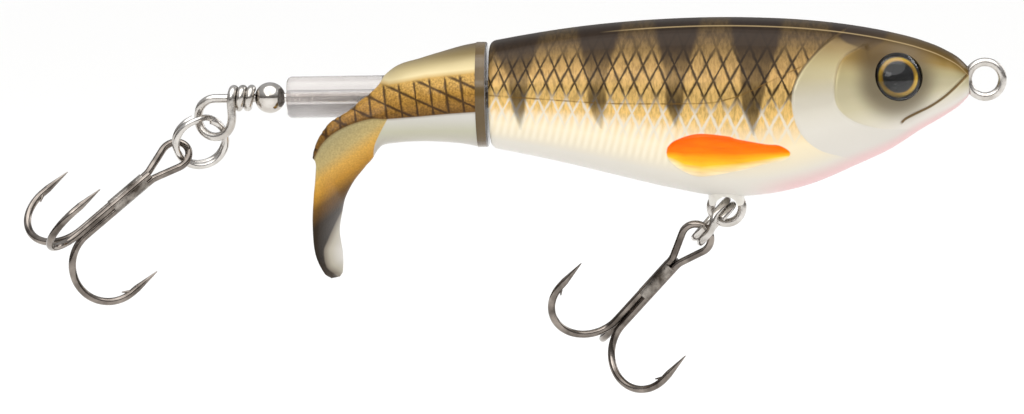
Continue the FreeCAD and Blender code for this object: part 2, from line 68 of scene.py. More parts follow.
def eased(rows, at):
    """Values at the given places on smooth curves through rows; column 0 is the place."""
    place, values = rows[:, 0], rows[:, 1:]
    slope = np.gradient(values, place, axis=0)
    i = np.clip(np.searchsorted(place, at) - 1, 0, len(place) - 2)
    span = (place[i + 1] - place[i])[..., None]
    t = (np.clip(at, place[0], place[-1]) - place[i])[..., None] / span
    return (values[i] * (2 * t**3 - 3 * t**2 + 1) + slope[i] * span * (t**3 - 2 * t**2 + t)
            + values[i + 1] * (3 * t**2 - 2 * t**3) + slope[i + 1] * span * (t**3 - t**2))


def drawn(points, steps=10):
    """A smooth line through a few points, as many short steps."""
    rows = np.array([(i, *point) for i, point in enumerate(points)], float)
    return eased(rows, np.linspace(0, len(points) - 1, (len(points) - 1) * steps + 1))


def off_line(line, x, z):
    """Signed distance from a line, positive on its left, and how far along it lies, 0 to 1."""
    best, side, along = np.full(x.shape, 1e9), np.ones(x.shape), np.zeros(x.shape)
    for i, (a, b) in enumerate(zip(line, line[1:])):
        run = b - a
        t = np.clip(((x - a[0]) * run[0] + (z - a[1]) * run[1]) / (run @ run), 0, 1)
        gap_x, gap_z = x - a[0] - t * run[0], z - a[1] - t * run[1]
        gap = np.hypot(gap_x, gap_z)
        nearer = gap < best
        best = np.where(nearer, gap, best)
        side = np.where(nearer, np.sign(run[0] * gap_z - run[1] * gap_x), side)
        along = np.where(nearer, i + t, along)
    return best * side, along / (len(line) - 1)


def step_up(value, low, high):
    t = np.clip((value - low) / (high - low), 0, 1)
    return t * t * (3 - 2 * t)


gill_line = drawn([(-22.6, 8.4), (-24.6, 7.13), (-26.89, 5.23), (-29.04, 2.85),
                   (-30.38, 0.45), (-30.9, -1.96), (-30.6, -5.2), (-29.2, -8.2),
                   (-26.6, -10.5), (-23.0, -11.8)])
cheek_line = drawn([(-9.0, 12.5), (-15.2, 8.6), (-18.4, 6.5), (-19.77, 5.91),
                    (-22.55, 4.34), (-23.72, 1.94), (-24.11, -1.28), (-23.51, -3.72),
                    (-21.12, -5.86), (-17.11, -7.23), (-13.2, -7.6)])
mouth_line = drawn([(-2.5, 1.2), (-4.1, -0.4), (-6.4, -2.4), (-8.8, -3.95),
                    (-11.3, -5.1), (-12.8, -5.85), (-13.7, -6.7)])
lateral_line = drawn([(-80.5, -0.8), (-63.0, -2.25), (-55.8, -2.5), (-45.1, -2.55),
                      (-41.0, -1.9), (-37.8, -0.8), (-33.0, 1.4), (-29.2, 3.1)])
fin_line = drawn([(-51.3, -10.5), (-51.0, -9.5), (-49.6, -8.4), (-46.1, -7.45),
                  (-41.4, -7.9), (-39.8, -8.4), (-35.3, -9.3), (-33.1, -9.55),
                  (-31.4, -10.7), (-32.1, -11.9), (-35.4, -12.7), (-39.9, -13.7),
                  (-45.7, -14.6), (-48.4, -13.8), (-50.3, -12.5), (-51.1, -11.5),
                  (-51.3, -10.5)])
# Each bar as rows of height, middle, half width and density.
bars = [
    [(-6.6, -74.8, 0.0, 0.3), (-3.6, -74.9, 0.9, 0.75), (-1.5, -75.0, 1.3, 0.85),
     (2.1, -75.0, 1.7, 0.6), (5.2, -75.4, 3.0, 0.8), (8.5, -75.8, 4.3, 1.0),
     (12, -75.8, 4.4, 1.0)],
    [(-6.6, -61.7, 0.0, 0.3), (-4.6, -62.1, 0.8, 0.5), (-2.2, -62.3, 1.5, 0.85),
     (1.5, -62.4, 1.5, 0.5), (6.7, -62.1, 2.9, 0.95), (9.5, -62.1, 3.6, 1.0),
     (12, -62.1, 3.6, 1.0)],
    [(-6.4, -49.7, 0.0, 0.5), (-2.8, -49.8, 1.4, 0.9), (1.6, -49.7, 1.6, 0.55),
     (6.4, -49.4, 2.9, 0.95), (10, -49.4, 3.8, 1.0), (12, -49.4, 3.8, 1.0)],
    [(-8.0, -37.2, 0.0, 0.5), (-3.5, -37.4, 1.5, 0.85), (0.6, -37.0, 2.1, 0.7),
     (3.8, -36.6, 2.7, 0.8), (6.4, -36.6, 3.7, 0.95), (10, -36.7, 4.2, 1.0),
     (12, -36.7, 4.2, 1.0)],
    [(5.2, -18.6, 0.0, 0.4), (6.6, -19.2, 3.0, 0.85), (8.2, -19.8, 4.6, 0.95),
     (12, -20.0, 5.2, 1.0)],
]


def section(share):
    """Back, belly and half width in mm at shares of the body's length."""
    return np.moveaxis(eased(outline, share) * (BACK, -BELLY, HALF_WIDTH), -1, 0)


def markings(x, z):
    """Where each point of the skin lies against the painted and moulded lines, in mm."""
    back, belly, _ = section((NOSE_X - x) / (NOSE_X - REAR_X))
    found = {"height": (z - belly) / (back - belly), "below_back": back - z}
    found["gill"], found["gill_run"] = off_line(gill_line, x, z)
    found["cheek"], found["cheek_run"] = off_line(cheek_line, x, z)
    found["mouth"], found["mouth_run"] = off_line(mouth_line, x, z)
    found["fin"] = off_line(fin_line, x, z)[0]
    found["lateral"] = off_line(lateral_line, x, z)[0]
    fin_low = np.interp(x, (-51.7, -50.1, -48.4, -45.7, -39.9, -31.4),
                        (-11.2, -12.4, -13.8, -14.6, -13.7, -11.6))
    fin_high = np.interp(x, (-51.7, -49.8, -46.1, -39.8, -33.1, -31.4),
                         (-9.9, -8.5, -7.4, -8.4, -9.5, -9.9))
    found["fin_rise"] = np.clip((z - fin_low) / np.maximum(fin_high - fin_low, 0.5), -1, 2)
    dark = np.zeros(x.shape)
    for rows in bars:
        table = np.array(rows, float)
        middle, half, density = [np.interp(z, table[:, 0], table[:, i]) for i in (1, 2, 3)]
        soft = 0.5 + 0.25 * np.clip(z, 0, 8) / 4
        reach = step_up((half - abs(x - middle)) / soft, -0.6, 0.6) * (z > table[0, 0])
        dark = np.maximum(dark, reach * density)
    found["bars"] = dark
    # Two families of slanted lines make the diamond scales; they crowd where the body narrows.
    spread = 0.55 + 0.45 * (back - belly) / 28.9
    found["scale_a"] = x / (SCALE_PITCH * spread**0.3) + (z - 1) * 0.155 / spread
    found["scale_b"] = x / (SCALE_PITCH * spread**0.3) - (z - 1) * 0.22 / spread
    return found


def moulded_relief(at, x, z):
    """How far the mould raises the skin, in mm."""
    gill_ends = step_up(at["gill_run"], 0.02, 0.15) * (1 - step_up(at["gill_run"], 0.8, 0.98))
    gill = 0.42 * step_up(at["gill"], -0.15, 0.2) * gill_ends
    gill = gill * np.exp(-np.clip(at["gill"], 0, 99) / 3.5)
    cheek_ends = step_up(at["cheek_run"], 0.17, 0.3) * (1 - step_up(at["cheek_run"], 0.8, 0.98))
    cheek = 0.36 * step_up(at["cheek"], -0.2, 0.25) * cheek_ends
    cheek = cheek * np.exp(-np.clip(at["cheek"], 0, 99) / 3.0)
    cut = (1 - step_up(at["mouth_run"], 0.88, 1.0)) * 0.4 * np.exp(-(at["mouth"] / 0.28) ** 2)
    lip = 0.16 * step_up(-at["mouth"], 0.1, 0.5) * np.exp(-np.clip(-at["mouth"], 0, 9) / 1.6)
    fin = 0.5 * step_up(-at["fin"], -0.1, 0.45)
    rays = 0.07 * np.sin(at["fin_rise"] * 22 + x * 0.5) * step_up(-at["fin"], 0.3, 1.0)
    scales = np.minimum(abs((at["scale_a"] + 0.5) % 1 - 0.5), abs((at["scale_b"] + 0.5) % 1 - 0.5))
    scaly = step_up(-at["gill"], 0.3, 1.2) * step_up(at["height"], 0.22, 0.36)
    scaly = scaly * step_up(at["below_back"], 3, 6)
    scales = 0.03 * (step_up(scales, 0.0, 0.14) - 1) * scaly * (at["fin"] > 0.3)
    return gill + cheek + fin + rays + lip * (at["mouth_run"] < 0.98) - cut + scales


def settled(obj):
    """The object with its modifiers worked into its mesh."""
    shape = obj.evaluated_get(bpy.context.evaluated_depsgraph_get())
    obj.data = bpy.data.meshes.new_from_object(shape)
    obj.modifiers.clear()
    return obj


def shown(name, bm, body):
    """A finished bmesh as an object that rides on a body."""
    mesh = bpy.data.meshes.new(name)
    bm.to_mesh(mesh)
    bm.free()
    mesh.polygons.foreach_set("use_smooth", [True] * len(mesh.polygons))
    obj = bpy.data.objects.new(name, mesh)
    bpy.context.scene.collection.objects.link(obj)
    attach(obj, body)
    return obj


def cut_away(obj, bm):
    """Cuts a closed bmesh out of an object."""
    mesh = bpy.data.meshes.new("cutter")
    bm.to_mesh(mesh)
    bm.free()
    tool = bpy.data.objects.new("cutter", mesh)
    bpy.context.scene.collection.objects.link(tool)
    cutter = obj.modifiers.new("cut", "BOOLEAN")
    cutter.object, cutter.operation, cutter.solver = tool, "DIFFERENCE", "EXACT"
    settled(obj)
    bpy.data.objects.remove(tool)


def skin_grid(side):
    """The outer skin of one half as rows of points from the keel to the back."""
    angle = np.radians(np.linspace(-90, 90, COLUMNS))
    across, rise = np.cos(angle), np.sin(angle)
    across[[0, -1]] = 0
    across = np.where(rise > 0, across ** 0.92, across)
    length = NOSE_X - REAR_X
    share = np.linspace(0, 1 - REAR_ROUND / length, ROWS)
    rim = [(math.sin(a), 1 - (1 - math.cos(a)) * REAR_ROUND / REAR_R)
           for a in np.radians((20, 42, 66, 90))]
    rows = [(0, NOSE_HOLE), (0, 0.72), (0.0003, 0.92)] + [(s, 1) for s in share[1:]]
    rows += [(1 - (1 - out) * REAR_ROUND / length, scale) for out, scale in rim]
    rows += [(1, 0.55), (1, SHAFT_HOLE)]
    grid = np.zeros((len(rows), COLUMNS, 3))
    for i, (at, scale) in enumerate(rows):
        back, belly, half = section(np.array(at))
        belt = belly + (back - belly) * BELT
        middle = SHAFT_Z if at > 0.5 else -0.2
        z = belt + np.where(rise > 0, back - belt, belt - belly) * rise
        grid[i, :, 0] = NOSE_X - length * at
        grid[i, :, 1] = side * half * across * scale
        grid[i, :, 2] = middle + (z - middle) * scale
    along, around = np.gradient(grid, axis=0), np.gradient(grid, axis=1)
    normal = np.cross(along, around)
    normal /= np.maximum(np.linalg.norm(normal, axis=2), 1e-9)[..., None]
    normal *= np.sign((normal[:, :, 1] * side).sum())
    x, z = grid[:, :, 0], grid[:, :, 2]
    relief = moulded_relief(markings(x, z), x, z) * step_up(across, 0.06, 0.3)
    relief[:3] = relief[-6:] = 0
    return grid + normal * relief[..., None]


def body_half(name, side, node_name):
    grid = skin_grid(side)
    bm = bmesh.new()
    bmesh.ops.create_grid(bm, x_segments=COLUMNS - 1, y_segments=len(grid) - 1, size=1)
    for v in bm.verts:
        column = round((v.co.x + 1) / 2 * (COLUMNS - 1))
        row = round((v.co.y + 1) / 2 * (len(grid) - 1))
        v.co = Vector(grid[row, column]) * MM
    bm.normal_update()
    if sum(f.normal.y for f in bm.faces) * side < 0:
        bmesh.ops.reverse_faces(bm, faces=bm.faces)
    obj = shown(name, bm, "body")
    wall = obj.modifiers.new("wall", "SOLIDIFY")
    wall.thickness, wall.offset = SHELL_WALL * MM, -1
    settled(obj)
    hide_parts(node_name)
    return obj


def note(obj, name, values):
    """Keeps one number for each point of a piece, for its material."""
    kept = obj.data.attributes.new(name, "FLOAT", "POINT")
    kept.data.foreach_set("value", values.astype(np.float32))


# Each eye sits in a socket bored along the eye's own axis.
EYE_FACING = Vector((0.27, 0.935, 0.24)).normalized()
SOCKET_R, SOCKET_DEPTH, SOCKET_SUNK = 3.96, 6.0, 0.2


def mirrored(vector, side):
    return Vector((vector.x, vector.y * side, vector.z))


def socket_tool(side):
    bm = bmesh.new()
    bmesh.ops.create_cone(bm, cap_ends=True, segments=72, radius1=SOCKET_R * MM,
                          radius2=SOCKET_R * MM, depth=SOCKET_DEPTH * MM)
    facing = mirrored(EYE_FACING, side)
    low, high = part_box(f"eye_disc_{SIDES[side]}")
    turn = facing.to_track_quat("Z", "Y").to_matrix().to_4x4()
    centre = Vector((low + high) / 2) + facing * (SOCKET_DEPTH / 2 - SOCKET_SUNK) * MM
    bmesh.ops.transform(bm, matrix=Matrix.Translation(centre) @ turn, verts=bm.verts)
    return bm


SIDES = {1: "left", -1: "right"}
halves = []
for side, word in SIDES.items():
    half = body_half(f"painted_half_{word}", side, f"body_shell_{word}")
    cut_away(half, socket_tool(side))
    half.data.set_sharp_from_angle(angle=math.radians(48))
    halves.append(half)

for half in halves:
    points = np.array([v.co for v in half.data.vertices]) / MM
    for name, values in markings(points[:, 0], points[:, 2]).items():
        if name not in ("gill_run", "cheek_run"):
            note(half, name, values)


def linear(hex_colour, alpha=1.0):
    """An sRGB hex colour as the linear values that shaders take."""
    parts = [int(hex_colour[i:i + 2], 16) / 255 for i in (1, 3, 5)]
    return (*[c / 12.92 if c <= 0.04045 else ((c + 0.055) / 1.055) ** 2.4 for c in parts], alpha)


def node(tree, kind, inputs=None, stops=None, **settings):
    """Adds a shader node. An input is a value, another node (its first output) or a socket."""
    made = tree.nodes.new("ShaderNode" + kind)
    for name, value in settings.items():
        setattr(made, name, value)
    for socket, value in (inputs or {}).items():
        if isinstance(value, bpy.types.Node):
            value = value.outputs[0]
        if isinstance(value, bpy.types.NodeSocket):
            tree.links.new(value, made.inputs[socket])
        else:
            made.inputs[socket].default_value = value
    for i, (place, colour) in enumerate(stops or ()):
        element = made.color_ramp.elements[i] if i < 2 else made.color_ramp.elements.new(place)
        element.position, element.color = place, linear(colour)
    return made


def new_material(name):
    """An empty node material with its shader joined to the output."""
    made = bpy.data.materials.new(name)
    made.use_nodes = True
    made.node_tree.nodes.clear()
    shader = made.node_tree.nodes.new("ShaderNodeBsdfPrincipled")
    output = made.node_tree.nodes.new("ShaderNodeOutputMaterial")
    made.node_tree.links.new(shader.outputs[0], output.inputs[0])
    return made, made.node_tree, shader


def wear(obj, material):
    """Gives every slot of a piece its material."""
    if not obj.material_slots:
        obj.data.materials.append(material)
    for place in obj.material_slots:
        place.material = material


# Airbrushed lacquer on ABS: soft colour edges, a gold foil under the scales, glossy coat.
perch, tree, shader = new_material("lacquered_abs_over_foil")
marks = {name: node(tree, "Attribute", attribute_name=name).outputs["Fac"]
         for name in ("height", "below_back", "gill", "cheek", "mouth", "mouth_run", "fin",
                      "fin_rise", "lateral", "bars", "scale_a", "scale_b")}
place = node(tree, "TexCoord").outputs["Object"]
where = node(tree, "SeparateXYZ", {0: place})
flank = node(tree, "ValToRGB", {0: marks["height"]}, stops=[
    (0.0, "#d3cfc8"), (1.0, "#46371f"), (0.10, "#dcd7cc"), (0.19, "#e9ddc2"), (0.27, "#f1e2c0"),
    (0.36, "#ecd1a2"), (0.44, "#e2ba70"), (0.56, "#cba663"), (0.68, "#b8935a"), (0.77, "#9a7b4a"),
    (0.84, "#735b36"), (0.91, "#513f27")])
head = node(tree, "ValToRGB", {0: marks["height"]}, stops=[
    (0.0, "#dccfc9"), (1.0, "#4d3c20"), (0.14, "#dfd9d1"), (0.30, "#d3ccb7"), (0.42, "#c3ba9b"),
    (0.56, "#bcb290"), (0.68, "#ac9f76"), (0.78, "#8c7340"), (0.87, "#6d5529"), (0.94, "#584421")])
cover = node(tree, "ValToRGB", {0: marks["height"]}, stops=[
    (0.0, "#dccfc9"), (1.0, "#4d3c20"), (0.10, "#d8d3cb"), (0.34, "#d9d4c9"), (0.54, "#cdc6b4"),
    (0.66, "#bbb08e"), (0.76, "#a3956d"), (0.85, "#85714b"), (0.93, "#644f30")])

# Fine slanted grain of the foil, about half a millimetre apart, drawn coarse enough to show.
grain_place = node(tree, "Mapping", {0: place, "Rotation": (0, math.radians(24), 0),
                                     "Scale": (1.0, 0.35, 0.34)})
grain = node(tree, "TexNoise", {"Vector": grain_place, "Scale": 2400.0, "Detail": 2.0,
                                "Roughness": 0.6})
grain_dark = node(tree, "MapRange", {0: grain, 1: 0.36, 2: 0.60, 3: 0.72, 4: 1.08})
in_foil = node(tree, "MapRange", {0: marks["height"], 1: 0.30, 2: 0.50},
               interpolation_type="SMOOTHSTEP")
grain_mix = node(tree, "Mix", {0: in_foil.outputs[0], 2: 1.0, 3: grain_dark.outputs[0]})
flank = node(tree, "VectorMath", {0: flank, "Scale": grain_mix}, operation="SCALE")

# Moulded ribs low on the flank, 1.2 mm apart, with their tops leaning forward.
# The ribs are drawn only as a painted highlight: pale stripes where their crests catch the light.
rib_place = node(tree, "Mapping", {0: place, "Rotation": (0, math.radians(-16), 0)})
ribs = node(tree, "TexWave",
            {"Vector": rib_place, "Scale": 262.0, "Distortion": 0.8, "Detail": 1.0},
            wave_type="BANDS", bands_direction="X")
rib_zone_low = node(tree, "MapRange", {0: marks["height"], 1: 0.12, 2: 0.2},
                    interpolation_type="SMOOTHSTEP")
rib_zone_high = node(tree, "MapRange", {0: marks["height"], 1: 0.34, 2: 0.42, 3: 1.0, 4: 0.0},
                     interpolation_type="SMOOTHSTEP")
rib_zone = node(tree, "Math", {0: rib_zone_low, 1: rib_zone_high}, operation="MULTIPLY")
rib_rear = node(tree, "MapRange", {0: where.outputs[0], 1: -0.044, 2: -0.052},
                interpolation_type="SMOOTHSTEP")
rib_zone = node(tree, "Math", {0: rib_zone, 1: rib_rear}, operation="MULTIPLY")
rib_highlight = node(tree, "Math", {0: ribs.outputs["Fac"], 1: rib_zone}, operation="MULTIPLY")
rib_highlight = node(tree, "Math", {0: rib_highlight, 1: 0.6}, operation="MULTIPLY")
flank = node(tree, "MixRGB", {0: rib_highlight, 1: flank, 2: linear("#f6eeda")})

# Diamond scales 2.7 mm apart: dark printed lines high on the flank and pale ones low, about
# half a millimetre wide and thinner where the print is worn.
near_a = node(tree, "Math", {0: marks["scale_a"], 1: 0.5}, operation="PINGPONG")
near_b = node(tree, "Math", {0: marks["scale_b"], 1: 0.5}, operation="PINGPONG")
wobble = node(tree, "TexNoise", {"Vector": place, "Scale": 900.0, "Detail": 2.0})
line_width = node(tree, "MapRange", {0: wobble, 1: 0.3, 2: 0.7, 3: 0.08, 4: 0.22})
line_a = node(tree, "MapRange", {0: near_a, 1: 0.02, 2: line_width.outputs[0], 3: 1.0, 4: 0.0},
              interpolation_type="SMOOTHSTEP")
line_b = node(tree, "MapRange", {0: near_b, 1: 0.02, 2: line_width.outputs[0], 3: 1.0, 4: 0.0},
              interpolation_type="SMOOTHSTEP")
lines = node(tree, "Math", {0: line_a, 1: line_b}, operation="MAXIMUM")
dark_zone = node(tree, "MapRange", {0: marks["height"], 1: 0.46, 2: 0.60},
                 interpolation_type="SMOOTHSTEP")
pale_zone = node(tree, "MapRange", {0: marks["height"], 1: 0.24, 2: 0.38},
                 interpolation_type="SMOOTHSTEP")
not_dark = node(tree, "Math", {0: 1.0, 1: dark_zone}, operation="SUBTRACT")
pale_lines = node(tree, "Math", {0: lines, 1: pale_zone}, operation="MULTIPLY")
pale_lines = node(tree, "Math", {0: pale_lines, 1: not_dark}, operation="MULTIPLY")
pale_lines = node(tree, "Math", {0: pale_lines, 1: 0.7}, operation="MULTIPLY")
flank = node(tree, "MixRGB", {0: pale_lines, 1: flank, 2: linear("#dcd9d0")})
bar_tone = node(tree, "MixRGB", {0: marks["bars"], 1: flank, 2: linear("#2c2118")})
dark_lines = node(tree, "Math", {0: lines, 1: dark_zone}, operation="MULTIPLY")
worn_above = node(tree, "MapRange", {0: marks["height"], 1: 0.78, 2: 0.88, 3: 0.92, 4: 0.3})
dark_lines = node(tree, "Math", {0: dark_lines, 1: worn_above}, operation="MULTIPLY")
flank = node(tree, "MixRGB", {0: dark_lines, 1: bar_tone, 2: linear("#231a12")})
# A thin brown crease along the middle of the flank, worn through in places.
lateral = node(tree, "Math", {0: marks["lateral"]}, operation="ABSOLUTE")
lateral = node(tree, "MapRange", {0: lateral, 1: 0.04, 2: 0.2, 3: 0.75, 4: 0.0},
               interpolation_type="SMOOTHSTEP")
lateral_worn = node(tree, "MapRange", {0: wobble, 1: 0.35, 2: 0.6, 3: 0.25, 4: 1.0})
lateral = node(tree, "Math", {0: lateral, 1: lateral_worn}, operation="MULTIPLY")
flank = node(tree, "MixRGB", {0: lateral, 1: flank, 2: linear("#6f5226")})

# The head: khaki cheek, paler gill cover, and soft shading that gathers round the eye.
on_cheek = node(tree, "MapRange", {0: marks["cheek"], 1: -0.12, 2: 0.12},
                interpolation_type="SMOOTHSTEP")
head_tone = node(tree, "MixRGB", {0: on_cheek, 1: cover, 2: head})
head_tone = node(tree, "MixRGB", {0: marks["bars"], 1: head_tone, 2: linear("#332820")})
eye_gap = node(tree, "VectorMath", {0: place, 1: (-0.0142, 0, 0.0005)}, operation="SUBTRACT")
eye_gap = node(tree, "VectorMath", {0: eye_gap, 1: (1.0, 0.0, 1.0)}, operation="MULTIPLY")
eye_gap = node(tree, "VectorMath", {0: eye_gap}, operation="LENGTH").outputs["Value"]
eye_shade = node(tree, "MapRange", {0: eye_gap, 1: 0.0036, 2: 0.0082, 3: 0.8, 4: 0.0},
                 interpolation_type="SMOOTHERSTEP")
head_tone = node(tree, "MixRGB", {0: eye_shade, 1: head_tone, 2: linear("#5f5342")})
# A darker patch behind and above the eye, where the back's colour runs down.
brow_gap = node(tree, "VectorMath", {0: place, 1: (-0.0181, 0, 0.0046)}, operation="SUBTRACT")
brow_gap = node(tree, "VectorMath", {0: brow_gap, 1: (0.8, 0.0, 1.0)}, operation="MULTIPLY")
brow_gap = node(tree, "VectorMath", {0: brow_gap}, operation="LENGTH").outputs["Value"]
brow_shade = node(tree, "MapRange", {0: brow_gap, 1: 0.0006, 2: 0.0042, 3: 0.75, 4: 0.0},
                  interpolation_type="SMOOTHSTEP")
head_tone = node(tree, "MixRGB", {0: brow_shade, 1: head_tone, 2: linear("#4f3d22")})
on_head = node(tree, "MapRange", {0: marks["gill"], 1: -0.15, 2: 0.1},
               interpolation_type="SMOOTHSTEP")
skin = node(tree, "MixRGB", {0: on_head, 1: flank, 2: head_tone})

# Painted shade in the mould's grooves of gill cover and cheek, a dark mouth line, a pink throat.
gill_groove_shade = node(tree, "Math", {0: marks["gill"]}, operation="ABSOLUTE")
gill_groove_shade = node(tree, "MapRange", {0: gill_groove_shade, 1: 0.05, 2: 0.32, 3: 0.75, 4: 0.0},
                   interpolation_type="SMOOTHSTEP")
# The painted groove shade stays on the upper head.
high = node(tree, "MapRange", {0: where.outputs[2], 1: -0.003, 2: 0.002},
            interpolation_type="SMOOTHSTEP")
gill_groove_shade = node(tree, "Math", {0: gill_groove_shade, 1: high}, operation="MULTIPLY")
skin = node(tree, "MixRGB", {0: gill_groove_shade, 1: skin, 2: linear("#57452b")})
# Painted shade along the cheek's groove, stopping below the brow.
cheek_groove_shade = node(tree, "Math", {0: marks["cheek"], 1: 0.1}, operation="ADD")
cheek_groove_shade = node(tree, "Math", {0: cheek_groove_shade}, operation="ABSOLUTE")
cheek_groove_shade = node(tree, "MapRange", {0: cheek_groove_shade, 1: 0.05, 2: 0.4, 3: 0.4, 4: 0.0},
                    interpolation_type="SMOOTHSTEP")
cheek_groove_shade = node(tree, "Math", {0: cheek_groove_shade, 1: high}, operation="MULTIPLY")
below_brow = node(tree, "MapRange", {0: where.outputs[2], 1: 0.0052, 2: 0.0066, 3: 1.0, 4: 0.0})
cheek_groove_shade = node(tree, "Math", {0: cheek_groove_shade, 1: below_brow}, operation="MULTIPLY")
skin = node(tree, "MixRGB", {0: cheek_groove_shade, 1: skin, 2: linear("#7a6647")})
mouth_near = node(tree, "Math", {0: marks["mouth"]}, operation="ABSOLUTE")
mouth_near = node(tree, "MapRange", {0: mouth_near, 1: 0.1, 2: 0.3, 3: 0.9, 4: 0.0},
                  interpolation_type="SMOOTHSTEP")
mouth_end = node(tree, "MapRange", {0: marks["mouth_run"], 1: 0.93, 2: 0.999, 3: 1.0, 4: 0.0})
mouth_near = node(tree, "Math", {0: mouth_near, 1: mouth_end}, operation="MULTIPLY")
skin = node(tree, "MixRGB", {0: mouth_near, 1: skin, 2: linear("#6b4f24")})
throat = node(tree, "MapRange", {0: marks["height"], 1: 0.0, 2: 0.13, 3: 0.8, 4: 0.0},
              interpolation_type="SMOOTHSTEP")
throat_from = node(tree, "MapRange", {0: where.outputs[0], 1: -0.040, 2: -0.030},
                   interpolation_type="SMOOTHSTEP")
throat = node(tree, "Math", {0: throat, 1: throat_from}, operation="MULTIPLY")
skin = node(tree, "MixRGB", {0: throat, 1: skin, 2: linear("#e2b4b6")})
# The weld between the halves shows as a fine pale line just below the ridge of the back.
weld = node(tree, "Math", {0: marks["below_back"], 1: -1.15}, operation="ADD")
weld = node(tree, "Math", {0: weld}, operation="ABSOLUTE")
weld = node(tree, "MapRange", {0: weld, 1: 0.03, 2: 0.13, 3: 0.7, 4: 0.0})
weld_from = node(tree, "MapRange", {0: where.outputs[0], 1: -0.062, 2: -0.055})
weld = node(tree, "Math", {0: weld, 1: weld_from}, operation="MULTIPLY")
skin = node(tree, "MixRGB", {0: weld, 1: skin, 2: linear("#b89f73")})
# The side fin, sprayed orange through a mask and yellow along its lower edge.
fin_tone = node(tree, "ValToRGB", {0: marks["fin_rise"]}, stops=[
    (0.0, "#f6e2bb"), (1.0, "#ee5a0a"), (0.14, "#fbd489"), (0.26, "#ffc02c"), (0.44, "#ffa30f"),
    (0.56, "#ff7d05"), (0.86, "#ff6b04")])
streak_place = node(tree, "Mapping", {0: place, "Rotation": (0, math.radians(-6), 0),
                                      "Scale": (0.16, 1, 1)})
streaks = node(tree, "TexNoise", {"Vector": streak_place, "Scale": 1300.0, "Detail": 3.0})
streaks = node(tree, "MapRange", {0: streaks, 1: 0.3, 2: 0.7, 3: 0.86, 4: 1.1})
fin_tone = node(tree, "VectorMath", {0: fin_tone, "Scale": streaks.outputs[0]}, operation="SCALE")
in_fin = node(tree, "MapRange", {0: marks["fin"], 1: 0.1, 2: -0.12},
              interpolation_type="SMOOTHSTEP")
skin = node(tree, "MixRGB", {0: in_fin, 1: skin, 2: fin_tone})
tree.links.new(skin.outputs[0], shader.inputs["Base Color"])
foil = node(tree, "MapRange", {0: marks["height"], 1: 0.34, 2: 0.5, 3: 0.0, 4: 0.28})
tree.links.new(foil.outputs[0], shader.inputs["Metallic"])
shader.inputs["Roughness"].default_value = 0.34
shader.inputs["Coat Weight"].default_value = 0.12
shader.inputs["Coat Roughness"].default_value = 0.04
shader.inputs["Specular IOR Level"].default_value = 0.05
shader.inputs["IOR"].default_value = 1.5
tiny = node(tree, "TexNoise", {"Vector": place, "Scale": 1500.0, "Detail": 2.0})
bump = node(tree, "Bump", {"Height": tiny, "Strength": 0.12, "Distance": 0.0001})
tree.links.new(bump.outputs[0], shader.inputs["Normal"])
for half in halves:
    wear(half, perch)


# ---- Hanger lugs ---------------------------------------------------------------------
# Small round ABS lugs, moulded with the halves, that the hanger comes out between. Their
# lower rim is rounded over, and a bore across the pair clears the hanger's loop.
LUG_R, LUG_LOW, LUG_TALL = 2.9, -19.78, 3.2
HANGER_X, HANGER_Z, HANGER_BORE = -42.06, -20.06, 1.86
LUG_EDGE, LUG_BORE_LENGTH = 0.45, 12
lug_white, tree, shader = new_material("lacquered_abs_lug")
cloud = node(tree, "TexNoise", {"Vector": node(tree, "TexCoord").outputs["Object"], "Scale": 400.0})
tone = node(tree, "ValToRGB", {0: cloud}, stops=[(0.3, "#dedad0"), (0.7, "#eeeae2")])
tree.links.new(tone.outputs[0], shader.inputs["Base Color"])
shader.inputs["Roughness"].default_value = 0.3
shader.inputs["Coat Weight"].default_value = 0.6
for side, word in SIDES.items():
    bm = bmesh.new()
    bmesh.ops.create_cone(bm, cap_ends=True, segments=64, radius1=LUG_R * MM, radius2=LUG_R * MM,
                          depth=LUG_TALL * MM)
    rim = [e for e in bm.edges if all(v.co.z < 0 for v in e.verts)]
    bmesh.ops.bevel(bm, geom=rim, offset=LUG_EDGE * MM, segments=4, profile=0.5, affect="EDGES",
                    material=-1)
    bmesh.ops.translate(bm, vec=Vector((HANGER_X, 0, LUG_LOW + LUG_TALL / 2)) * MM, verts=bm.verts)
    split = bmesh.ops.bisect_plane(bm, geom=bm.verts[:] + bm.edges[:] + bm.faces[:],
                                   plane_co=(0, 0, 0), plane_no=(0, -side, 0), clear_outer=True)
    open_edges = [e for e in split["geom_cut"] if isinstance(e, bmesh.types.BMEdge)]
    bmesh.ops.edgenet_fill(bm, edges=open_edges)
    bmesh.ops.recalc_face_normals(bm, faces=bm.faces)
    lug = shown(f"hanger_lug_{word}", bm, "body")
    bore = bmesh.new()
    bmesh.ops.create_cone(bore, cap_ends=True, segments=48, radius1=HANGER_BORE * MM,
                          radius2=HANGER_BORE * MM, depth=LUG_BORE_LENGTH * MM)
    bmesh.ops.rotate(bore, matrix=Matrix.Rotation(math.radians(90), 3, "X"), verts=bore.verts)
    bmesh.ops.translate(bore, vec=Vector((HANGER_X, 0, HANGER_Z)) * MM, verts=bore.verts)
    cut_away(lug, bore)
    lug.data.set_sharp_from_angle(angle=math.radians(40))
    wear(lug, lug_white)


# ---- Tail skin -----------------------------------------------------------------------
# Soft PVC, moulded round the clear tube as a cone that runs out into one twisted blade.
# Metallic khaki is sprayed on top, a scaly gold band on the flank and black at the tip.
TAIL_RIM_R, TAIL_FRONT, TUBE_R = 8.4, -82.0, 3.36
TAIL_STEPS, TAIL_TURNS = 13, 132   # rows for each oval and points round it
BORE_LENGTH = 50.0
